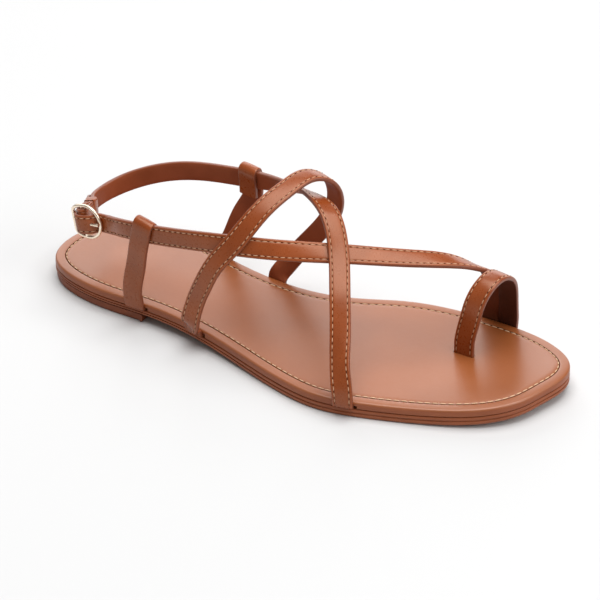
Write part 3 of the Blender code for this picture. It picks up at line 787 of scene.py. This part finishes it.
def stretch(rows, start, places):
    """Middle and facing of a strap at distances along it after the place nearest to start."""
    middle, run, facing = band_frames(rows)[:3]
    path = path_along(middle)
    first = path[np.argmin(np.linalg.norm(middle - start, axis=1))]
    found = []
    for place in places:
        point = [np.interp(first + place, path, middle[:, i]) for i in range(3)]
        turn = [np.interp(first + place, path, facing[:, i]) for i in range(3)]
        found.append((np.array(point), unit(np.array(turn))))
    return found


def strap_tail(heel_rows):
    """Toe strap's free end, lying outside the heel part, then over the bar and under the bow."""
    lie = (STRAP_THICK + TAIL_THICK) / 2.0 + FIT_GAP
    wrap = WIRE_RADIUS + 2.0 * FIT_GAP + FOLD_THICK + TAIL_THICK / 2.0
    under = WIRE_RADIUS + FIT_GAP + TAIL_THICK / 2.0
    # distance from the buckle, thickness
    lying = (
        (TAIL_LENGTH, 0.5),
        (TAIL_LENGTH * 0.8, 1.0),
        (KEEPER_START + KEEPER_LENGTH, TAIL_THICK),
        (KEEPER_START + KEEPER_LENGTH / 2.0, TAIL_THICK),
        (KEEPER_START, TAIL_THICK),
    )
    beside = stretch(heel_rows, HEEL_START, [place for place, thick in lying])
    rows = []
    for (middle, facing), (place, thick) in zip(beside, lying):
        rows.append(row(middle + facing * (lie + (thick - TAIL_THICK) / 2.0), facing, thick))
    for turn in (HEEL_TURN, HEEL_TURN * 0.3, -15.0):
        side = bar_side(turn)
        rows.append(row(BAR + side * wrap, side, TAIL_THICK))
    # ahead, out, down, lean of the facing towards the toe, thickness
    dive = (
        (RING_FRONT * 0.48, 1.2, 0.2, 0.9, TAIL_THICK),
        (RING_FRONT * 0.75, -under * 0.85, 0.4, 0.5, TAIL_THICK),
        (RING_FRONT + 0.3, -under * 1.15, 0.7, 0.0, TAIL_THICK),
        (RING_FRONT + 5.0, -under * 0.9, 0.7, 0.0, TAIL_THICK + 0.4),
    )
    for ahead, out, down, lean, thick in dive:
        rows.append(row(on_buckle(ahead, out, -down), OUTWARD + FORWARD * lean, thick))
    return rows


heel_rows = buckled_end() + rows_of(HEEL_PART)
toe_rows = strap_tail(heel_rows) + rows_of(TOE_RUN) + foot_rows(*TOE_FOOT)[::-1]
rear_rows = heel_rows + rows_of(INSTEP_RISE)
rear_rows.append(over(toe_rows, REAR_CROSSING))
rear_rows += rows_of(INSTEP_FALL) + foot_rows(*REAR_FOOT)[::-1]
arch_rows = foot_rows(*ARCH_LATERAL_FOOT) + rows_of(ARCH_RISE)
arch_rows.append(over(toe_rows, ARCH_CROSSING))
arch_rows += rows_of(ARCH_FALL) + foot_rows(*ARCH_MEDIAL_FOOT)[::-1]
lateral_rows = post_rows(
    foot_rows(*LATERAL_POST_FOOT), LATERAL_POST, toe_rows, TOE_RUN[1][:3], square=0.0, flap=4.2
)
medial_rows = post_rows(
    foot_rows(*MEDIAL_POST_FOOT), MEDIAL_POST, rear_rows, INSTEP_RISE[0][:3], square=0.5, flap=7.6
)
loop_rows = toe_loop_rows()
print("rows:", len(toe_rows), len(rear_rows), len(arch_rows), len(loop_rows))

# %% [markdown]
# ## Leather straps
# Cut across, a strap is a thin slab: a face that is a little crowned, with a shallow channel for
# each row of stitches, rounded edges that are painted, and a flat lining.  The section below is
# half of that, from the middle of the face round to the middle of the lining.  It is swept along
# the route, and each strip of faces takes the finish of its zone.  The toe strap's free end is
# drawn in towards its tip.

# %% Section of a strap and its sweep
FACE, PAINT, LINING = 0, 1, 2
STITCH_FROM_EDGE = 1.4
CHANNEL_DEPTH = 0.18
CROWN = 0.12
TAIL_TIP = 12.0
TIP_NARROW = 0.6
# Stitch channel: distance from its line and lift.  Rim: distance in from the edge, level and zone.
CHANNEL = ((-0.55, 0.04), (-0.3, 0.0), (-0.12, -CHANNEL_DEPTH), (0.12, -CHANNEL_DEPTH), (0.3, 0.0))
RIM = (
    (0.85, 1.0, FACE), (0.42, 0.96, FACE), (0.18, 0.8, PAINT), (0.03, 0.45, PAINT),
    (0.0, 0.0, PAINT), (0.04, -0.5, PAINT), (0.22, -0.85, LINING), (0.55, -1.0, LINING),
)


def half_section(width, stitched):
    """Across, level as a share of half the thickness, lift in mm and zone, face to lining."""
    half = width / 2.0
    points = [(0.0, 1.0, CROWN, FACE), (half * 0.35, 1.0, CROWN * 0.9, FACE)]
    if stitched:
        line = half - STITCH_FROM_EDGE
        points += [(line + away, 1.0, lift, FACE) for away, lift in CHANNEL]
    else:
        points.append((half * 0.7, 1.0, CROWN * 0.4, FACE))
    points += [(half - inset, level, 0.0, zone) for inset, level, zone in RIM]
    points += [(half * 0.5, -1.0, 0.0, LINING), (0.0, -1.0, 0.0, LINING)]
    return points


def full_section(width, stitched):
    """The half section and its mirror image as one closed loop, with a zone for each side."""
    half = half_section(width, stitched)
    right = [(a, level, lift) for a, level, lift, zone in half]
    left = [(-a, level, lift) for a, level, lift, zone in half[1:-1]][::-1]
    zones = [zone for a, level, lift, zone in half[:-1]]
    return right + left, zones + zones[::-1]


def strap(name, rows, width, stitched, inside, tip=0.0):
    """Sweep the section along a route; over the length of a tip its first end grows narrow."""
    middle, run, facing, thick = band_frames(rows)
    across = np.cross(run, facing)
    if tip:
        across *= 1.0 - TIP_NARROW * np.clip(1.0 - path_along(middle) / tip, 0.0, 1.0)[:, None] ** 2
    points, zones = full_section(width, stitched)
    rings = []
    for i in range(len(middle)):
        half = thick[i] / 2.0
        ring = [across[i] * side + facing[i] * (level * half + lift) for side, level, lift in points]
        rings.append(middle[i] + np.array(ring))
    return tube(name, rings, [STRAP_LEATHER, EDGE_PAINT, inside], zones, PAINT)


# The toe strap and the toe loop take the darker linings, painted shade inside the toe loop.
STRAPS = (
    ("toe_strap", toe_rows, STRAP_WIDTH, True, TOE_LINING_PAINTED_SHADE, TAIL_TIP),
    ("rear_strap", rear_rows, STRAP_WIDTH, True, STRAP_LINING),
    ("instep_strap", arch_rows, STRAP_WIDTH, True, STRAP_LINING),
    ("lateral_post", lateral_rows, POST_WIDTH, False, STRAP_LINING),
    ("medial_post", medial_rows, POST_WIDTH, False, STRAP_LINING),
    ("toe_loop", loop_rows, POST_WIDTH, True, LOOP_LINING_PAINTED_SHADE),
)
straps = {line[0]: strap(*line) for line in STRAPS}
print("straps:", {name: len(obj.data.polygons) for name, obj in straps.items()})

# %% [markdown]
# ## Pockets under the footbed
# The feet of the straps are glued between footbed and outsole, so the footbed is relieved for
# each of them, and it has a slot that the toe loop's inner leg comes up through.  The same routes
# swept a little larger make the cutters, with a small notch on the toe side of each foot.

# %% Cut the pockets and the slot
POCKET_GAP = 0.15
NOTCH = 1.3


def pocket(rows, width, notch=NOTCH):
    """Plain strip along a route, larger than the strap all round, and by notch towards the toe."""
    middle, run, facing, thick = band_frames(rows)
    middle[0] -= run[0] * POCKET_GAP
    middle[-1] += run[-1] * POCKET_GAP
    across = np.cross(run, facing)
    across *= np.sign(across[:, :1])
    toe_side = across * (width / 2.0 + POCKET_GAP + notch)
    heel_side = -across * (width / 2.0 + POCKET_GAP)
    rings = []
    for i in range(len(middle)):
        out = facing[i] * (thick[i] / 2.0 + POCKET_GAP)
        corners = (toe_side[i] + out, toe_side[i] - out, heel_side[i] - out, heel_side[i] + out)
        rings.append(middle[i] + np.array(corners))
    return tube("pocket", rings, [])


FOOT_ROWS = 7
FEET = (
    (rear_rows[-FOOT_ROWS:], STRAP_WIDTH),
    (arch_rows[:FOOT_ROWS], STRAP_WIDTH),
    (arch_rows[-FOOT_ROWS:], STRAP_WIDTH),
    (lateral_rows[:FOOT_ROWS], POST_WIDTH),
    (medial_rows[:FOOT_ROWS], POST_WIDTH),
    (loop_rows[-FOOT_ROWS:], POST_WIDTH),
    (loop_rows[:FOOT_ROWS], POST_WIDTH, 0.0),
    (toe_rows[-FOOT_ROWS:], STRAP_WIDTH),
)
combine(footbed, [pocket(*foot) for foot in FEET], "DIFFERENCE", SOLE_SHARP)
print("footbed after its pockets:", len(footbed.data.polygons), "faces")

# %% [markdown]
# ## Buckle, prong and keeper
# The buckle is a D-shaped ring of pale gold wire with a straight bar across it.  A Bezier path with
# a round bevel is the natural tool for wire, and is then turned into a mesh.  The prong is a wire
# that hooks round the bar, a little thicker at its end, and both straps there have a hole for it.
# The keeper is a short leather tube round the heel part and the free end.

# %% Wires
WELD = 0.01
PRONG_PAST = 0.6
PRONG_TIP = 1.2
HOLE_PAST = 1.2
HOLE_GAP = 0.12


def wire(name, knots, radius, closed, material, tip=1.0):
    """Round wire through knots of ahead, out and high, each with the handles before and after."""
    curve = bpy.data.curves.new(name, "CURVE")
    curve.dimensions = "3D"
    curve.bevel_depth = radius * MM
    curve.bevel_resolution = 5
    curve.resolution_u = 20
    curve.use_fill_caps = True
    path = curve.splines.new("BEZIER")
    path.bezier_points.add(len(knots) - 1)
    path.use_cyclic_u = closed
    for point, (at, before, after) in zip(path.bezier_points, knots):
        point.co = in_frame(on_buckle(*at))
        point.handle_left = in_frame(on_buckle(*before))
        point.handle_right = in_frame(on_buckle(*after))
    path.bezier_points[-1].radius = tip
    holder = new_object(name + "_path", curve)
    mesh = evaluated_mesh(holder)
    bpy.data.objects.remove(holder)
    bm = bmesh.new()
    bm.from_mesh(mesh)
    bmesh.ops.remove_doubles(bm, verts=bm.verts, dist=WELD * MM)
    bmesh.ops.recalc_face_normals(bm, faces=bm.faces)
    bm.to_mesh(mesh)
    bm.free()
    mesh.name = name
    mesh.materials.append(material)
    shade(mesh, WIRE_SHARP)
    return new_object(name, mesh)


def ring_knots():
    """D-shaped ring: a straight side behind, a round bow in front."""
    tall = RING_HALF_HEIGHT
    back = -RING_BACK
    straight = 1.0
    corner = 4.0
    shoulder = tall - 1.2
    crown = -0.5
    behind = crown - 4.6
    bow = 4.4
    return (
        ((back, 0, -corner), (back, 0, -shoulder), (back, 0, -straight)),
        ((back, 0, corner), (back, 0, straight), (back, 0, shoulder)),
        ((crown, 0, tall), (behind, 0, tall), (crown + bow, 0, tall)),
        ((RING_FRONT, 0, 0), (RING_FRONT, 0, bow), (RING_FRONT, 0, -bow)),
        ((crown, 0, -tall), (crown + bow, 0, -tall), (behind, 0, -tall)),
    )


def prong_knots(past):
    """Hook round the bar and a straight pin that rests on the bow and ends past it."""
    reach = RING_FRONT + past
    hook = WIRE_RADIUS + FIT_GAP + PRONG_RADIUS
    back = -BAR_BACK
    ease = hook * 0.55
    return (
        ((back + 0.4, -hook), (back + 0.9, -hook), (back - ease, -hook)),
        ((back - hook, 0.0), (back - hook, -ease), (back - hook, ease)),
        ((back, hook), (back - ease, hook), (back + 4.0, hook + 0.1)),
        ((reach, hook), (reach - 4.0, hook + 0.1), (reach + 0.5, hook)),
    )


def bar_knots():
    """Straight bar across the ring, which the rear strap and the prong turn on."""
    end = RING_HALF_HEIGHT - 0.2
    back = -BAR_BACK
    return (
        ((back, 0, -end), (back, 0, -end - 1.0), (back, 0, -end + 1.0)),
        ((back, 0, end), (back, 0, end - 1.0), (back, 0, end + 1.0)),
    )


buckle = wire("buckle_ring", ring_knots(), WIRE_RADIUS, True, GOLD)
bar = wire("buckle_bar", bar_knots(), WIRE_RADIUS * 0.95, False, GOLD)
combine(buckle, [bar], "UNION", WIRE_SHARP)
prong = wire("prong_pin", prong_knots(PRONG_PAST), PRONG_RADIUS, False, GOLD, PRONG_TIP)
# Each cutter carries the dark finish, painted shade for the walls of the prong's hole.
for name in ("toe_strap", "rear_strap"):
    hole = wire("prong_hole", prong_knots(HOLE_PAST), PRONG_RADIUS + HOLE_GAP, False, NEEDLE_HOLE_SHADE)
    combine(straps[name], [hole], "DIFFERENCE", LEATHER_SHARP)
print("buckle:", len(buckle.data.polygons), "prong:", len(prong.data.polygons), "faces")

# %% Keeper
# Share of the keeper's length and thickness of its wall there.
KEEPER_WALL = (
    (0.0, 0.25), (0.03, 0.38), (0.10, 0.46), (0.5, 0.5), (0.90, 0.46), (0.97, 0.38), (1.0, 0.25),
)
KEEPER_ROUND = 0.5


def keeper_loop(width, depth, round_off):
    """Closed rounded rectangle, across and out."""
    loop = []
    for side, out, start in ((1, 1, 0.0), (-1, 1, 90.0), (-1, -1, 180.0), (1, -1, 270.0)):
        for k in range(5):
            angle = radians(start + 90.0 * k / 4.0)
            across = side * (width / 2.0 - round_off) + round_off * cos(angle)
            away = out * (depth / 2.0 - round_off) + round_off * sin(angle)
            loop.append((across, away))
    return loop


def keeper():
    """Leather tube round the heel part and the free end beside it."""
    shift = (TAIL_THICK + FIT_GAP) / 2.0
    inner_width = STRAP_WIDTH + FIT_GAP
    inner_depth = STRAP_THICK + TAIL_THICK + 3.0 * FIT_GAP
    inner = keeper_loop(inner_width, inner_depth, KEEPER_ROUND)
    places = [KEEPER_START + KEEPER_LENGTH * share for share, wall in KEEPER_WALL]
    found = stretch(heel_rows, HEEL_START, places)
    middles = np.array([middle + facing * shift for middle, facing in found])
    runs = np.gradient(middles, axis=0)
    bm = bmesh.new()

    def ring(i, loop):
        facing = found[i][1]
        across = unit(np.cross(unit(runs[i]), facing))
        return [bm.verts.new(middles[i] + across * a + facing * b) for a, b in loop]

    outer_rings = []
    for i, (share, wall) in enumerate(KEEPER_WALL):
        loop = keeper_loop(inner_width + 2.0 * wall, inner_depth + 2.0 * wall, KEEPER_ROUND + wall)
        outer_rings.append(ring(i, loop))
    inner_rings = [ring(i, inner) for i in range(len(KEEPER_WALL))]
    path = outer_rings + inner_rings[::-1]
    for low, high in zip(path, path[1:]):
        bridge(bm, low, high)
    bridge(bm, path[-1], path[0], [PAINT] * len(inner))
    return finish_mesh("keeper_loop", bm, [STRAP_LEATHER, EDGE_PAINT])


keeper_piece = keeper()
print("keeper:", len(keeper_piece.data.polygons), "faces")

# %% [markdown]
# ## Stitches
# Two rows of thread run along the toe strap, rear strap, instep strap and toe loop, and one row
# runs round the footbed.  A stitch repeats hundreds of times at one pitch, which is work for
# Geometry Nodes: a line becomes a curve, points are set along it at the pitch, and a small grain
# of thread lies on each, turned along the line.  The same tree with other sizes sets small dark
# grains between the stitches of the straps, painted shade of the needle holes.


# %% The tree that sews
def sewing_tree():
    """Grains of a length, width and height at a pitch along every line of a mesh."""
    tree = bpy.data.node_groups.new("sewing along a line", "GeometryNodeTree")
    face = tree.interface
    face.new_socket("Line", in_out="INPUT", socket_type="NodeSocketGeometry")
    for label in ("Pitch", "Shift", "Grain Length", "Grain Width"):
        face.new_socket(label, in_out="INPUT", socket_type="NodeSocketFloat")
    face.new_socket("Finish", in_out="INPUT", socket_type="NodeSocketMaterial")
    face.new_socket("Sewing", in_out="OUTPUT", socket_type="NodeSocketGeometry")
    start = add_node(tree, "NodeGroupInput")
    end = add_node(tree, "NodeGroupOutput")
    curve = add_node(tree, "GeometryNodeMeshToCurve")
    points = add_node(tree, "GeometryNodeCurveToPoints", {"mode": "LENGTH"})
    slide = add_node(tree, "ShaderNodeVectorMath", {"operation": "SCALE"})
    move = add_node(tree, "GeometryNodeSetPosition")
    turn = add_node(tree, "FunctionNodeAlignRotationToVector", {"axis": "X"})
    grain = add_node(tree, "GeometryNodeMeshUVSphere", Segments=8, Rings=6, Radius=0.5)
    size = add_node(tree, "ShaderNodeCombineXYZ")
    place = add_node(tree, "GeometryNodeInstanceOnPoints")
    real = add_node(tree, "GeometryNodeRealizeInstances")
    smooth = add_node(tree, "GeometryNodeSetShadeSmooth")
    paint = add_node(tree, "GeometryNodeSetMaterial")
    links = (
        (start, "Line", curve, "Mesh"),
        (curve, "Curve", points, "Curve"),
        (start, "Pitch", points, "Length"),
        (points, "Tangent", slide, 0),
        (start, "Shift", slide, "Scale"),
        (points, "Points", move, "Geometry"),
        (slide, "Vector", move, "Offset"),
        (points, "Tangent", turn, "Vector"),
        (start, "Grain Length", size, "X"),
        (start, "Grain Width", size, "Y"),
        (start, "Grain Width", size, "Z"),
        (move, "Geometry", place, "Points"),
        (grain, "Mesh", place, "Instance"),
        (turn, "Rotation", place, "Rotation"),
        (size, "Vector", place, "Scale"),
        (place, "Instances", real, "Geometry"),
        (real, "Geometry", smooth, "Geometry"),
        (smooth, "Geometry", paint, "Geometry"),
        (start, "Finish", paint, "Material"),
        (paint, "Geometry", end, "Sewing"),
    )
    join(tree, links)
    return tree


SEWING = sewing_tree()
SEWING_INPUTS = {
    item.name: item.identifier for item in SEWING.interface.items_tree if item.in_out == "INPUT"
}


def sew(name, lines, pitch, shift, length, width, material):
    """Run the tree over polylines given in shoe millimetres and keep a plain mesh."""
    bm = bmesh.new()
    for line in lines:
        spots = [bm.verts.new(in_frame(point)) for point in line]
        for a, b in zip(spots, spots[1:]):
            bm.edges.new((a, b))
    mesh = bpy.data.meshes.new(name)
    bm.to_mesh(mesh)
    bm.free()
    obj = new_object(name, mesh)
    modifier = obj.modifiers.new("sewing", "NODES")
    modifier.node_group = SEWING
    measures = {"Pitch": pitch, "Shift": shift, "Grain Length": length, "Grain Width": width}
    for label, value in measures.items():
        modifier[SEWING_INPUTS[label]] = value * MM
    modifier[SEWING_INPUTS["Finish"]] = material
    return baked(obj)


# %% Lines along the straps and round the footbed
STITCH_PITCH = 3.0
STITCH_LENGTH = 2.2
STITCH_WIDTH = 0.42
HOLE_SHADE_LENGTH = 0.6
HOLE_SHADE_WIDTH = 0.42
FOOTBED_PITCH = 3.4
FOOTBED_STITCH = 2.8
FOOTBED_THREAD = 0.5


def stitch_lines(rows, width, start, end):
    """Both rows of a strap, from start after its first row to end before its last."""
    middle, run, facing, thick = band_frames(rows)
    across = np.cross(run, facing)
    path = path_along(middle)
    keep = (path >= start) & (path <= path[-1] - end)
    level = thick / 2.0 - CHANNEL_DEPTH * 0.4
    lines = []
    for side in (-1.0, 1.0):
        away = side * (width / 2.0 - STITCH_FROM_EDGE)
        line = middle + across * away + facing * level[:, None]
        lines.append(line[keep])
    return lines


# rows, width, distance left bare at the start and at the end
SEWN = (
    (toe_rows, STRAP_WIDTH, TAIL_TIP + 2.0, 18.0),
    (rear_rows, STRAP_WIDTH, 26.0, 16.0),
    (arch_rows, STRAP_WIDTH, 18.0, 18.0),
    (loop_rows, POST_WIDTH, 14.0, 16.0),
)
strap_lines = []
for line in SEWN:
    strap_lines += stitch_lines(*line)
loop, inward = outline_loop(fine_stations)
channel = []
for point, turn in zip(loop, inward):
    x, y = point + turn * STITCH_INSET
    channel.append((x, y, footbed_top(point[0]) - STITCH_DEEP))
channel = np.array(channel + channel[:1])

BETWEEN = STITCH_PITCH / 2.0
sewn = (
    sew("strap_stitches", strap_lines, STITCH_PITCH, 0.0, STITCH_LENGTH, STITCH_WIDTH, THREAD),
    # The dark grains between the stitches are painted shade of the needle holes.
    sew("strap_needle_hole_shade", strap_lines, STITCH_PITCH, BETWEEN, HOLE_SHADE_LENGTH, HOLE_SHADE_WIDTH, NEEDLE_HOLE_SHADE),
    sew("footbed_stitches", [channel], FOOTBED_PITCH, 0.0, FOOTBED_STITCH, FOOTBED_THREAD, PALE_THREAD),
)
print("sewing:", {obj.name: len(obj.data.polygons) for obj in sewn})

# %% [markdown]
# ## Joining the pieces to the frame
# The whole sandal is one body, so every piece rides on it.  A dressed piece takes the place of a
# solid, which is hidden.

# %% Ride and replace
ROOT = "root"
DRESSED = [
    (heel_lift, "heel_lift"),
    (outsole, "outsole"),
    (footbed, "footbed"),
    (buckle, "buckle_frame"),
    (prong, "buckle_prong"),
    (keeper_piece, "strap_keeper"),
]
DRESSED += [(piece, "upper") for piece in straps.values()]
for piece, node in DRESSED:
    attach(piece, ROOT)
    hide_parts(node)
for piece in sewn:
    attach(piece, ROOT)
print("dressed pieces:", len(DRESSED), "sewn:", len(sewn))

# %% [markdown]
# ## Floor, light and camera
# A pale floor runs out of sight under a dim white sky.  The footbed mirrors a large softbox behind
# the heel, a low panel behind the shoe catches the crests of the straps, one softbox overhead
# lights their upper faces, and one at the toe reaches under the loop.  The camera looks from the
# little-toe side and the front, well above the floor.

# %% Studio
SKY_STRENGTH = 0.27
FLOOR_HALF = 4.0
FLOOR_TONE = 0.63
# Name, place, aim and width in metres, and watts.
LIGHTS = (
    ("back softbox", (-1.65, 1.36, 1.12), (-0.25, 0.0, 0.0), 1.8, 24.0),
    ("backdrop panel", (-0.7, 2.1, 0.5), (0.0, 0.0, 0.03), 1.0, 6.0),
    ("overhead softbox", (0.12, 0.08, 1.7), (0.0, 0.0, 0.0), 1.5, 34.0),
    ("toe side softbox", (1.7, 0.1, 1.1), (0.1, 0.0, 0.0), 1.2, 16.0),
)


def turn_to(obj, way):
    """Turn a light or a camera to look along a direction."""
    obj.rotation_mode = "QUATERNION"
    obj.rotation_quaternion = way.to_track_quat("-Z", "Y")


bpy.context.scene.view_settings.view_transform = "Standard"
world = bpy.data.worlds.new("white studio")
bpy.context.scene.world = world
world.use_nodes = True
sky = world.node_tree.nodes["Background"]
sky.inputs["Color"].default_value = (1.0, 1.0, 1.0, 1.0)
sky.inputs["Strength"].default_value = SKY_STRENGTH

corners = [(x * FLOOR_HALF, y * FLOOR_HALF, 0.0) for x, y in ((-1, -1), (1, -1), (1, 1), (-1, 1))]
floor_mesh = bpy.data.meshes.new("floor")
floor_mesh.from_pydata(corners, [], [(0, 1, 2, 3)])
floor = new_object("floor", floor_mesh)
floor_finish, floor_shader = new_material("pale floor")[::2]
floor_shader.inputs["Base Color"].default_value = (FLOOR_TONE, FLOOR_TONE, FLOOR_TONE, 1.0)
floor_shader.inputs["Roughness"].default_value = 0.7
floor_shader.inputs["Specular IOR Level"].default_value = 0.2
floor_mesh.materials.append(floor_finish)

for name, place, aim, size, watts in LIGHTS:
    light = bpy.data.lights.new(name, "AREA")
    light.size = size
    light.energy = watts
    lamp = new_object(name, light)
    lamp.location = place
    turn_to(lamp, Vector(aim) - Vector(place))
print("lights:", len(LIGHTS))

# %% Camera
VIEW_AZIMUTH = radians(32.49)
VIEW_ELEVATION = radians(32.94)
VIEW_DISTANCE = 1.5925
VIEW_AIM = Vector((0.0, 0.0, 0.018))
VIEW_LENS = 214.0
flat = cos(VIEW_ELEVATION)
back = Vector((sin(VIEW_AZIMUTH) * flat, -cos(VIEW_AZIMUTH) * flat, sin(VIEW_ELEVATION)))
camera_data = bpy.data.cameras.new("camera")
camera_data.lens = VIEW_LENS
camera = new_object("camera", camera_data)
camera.location = VIEW_AIM + back * VIEW_DISTANCE
turn_to(camera, -back)
bpy.context.scene.camera = camera
print("camera at:", tuple(camera.location))
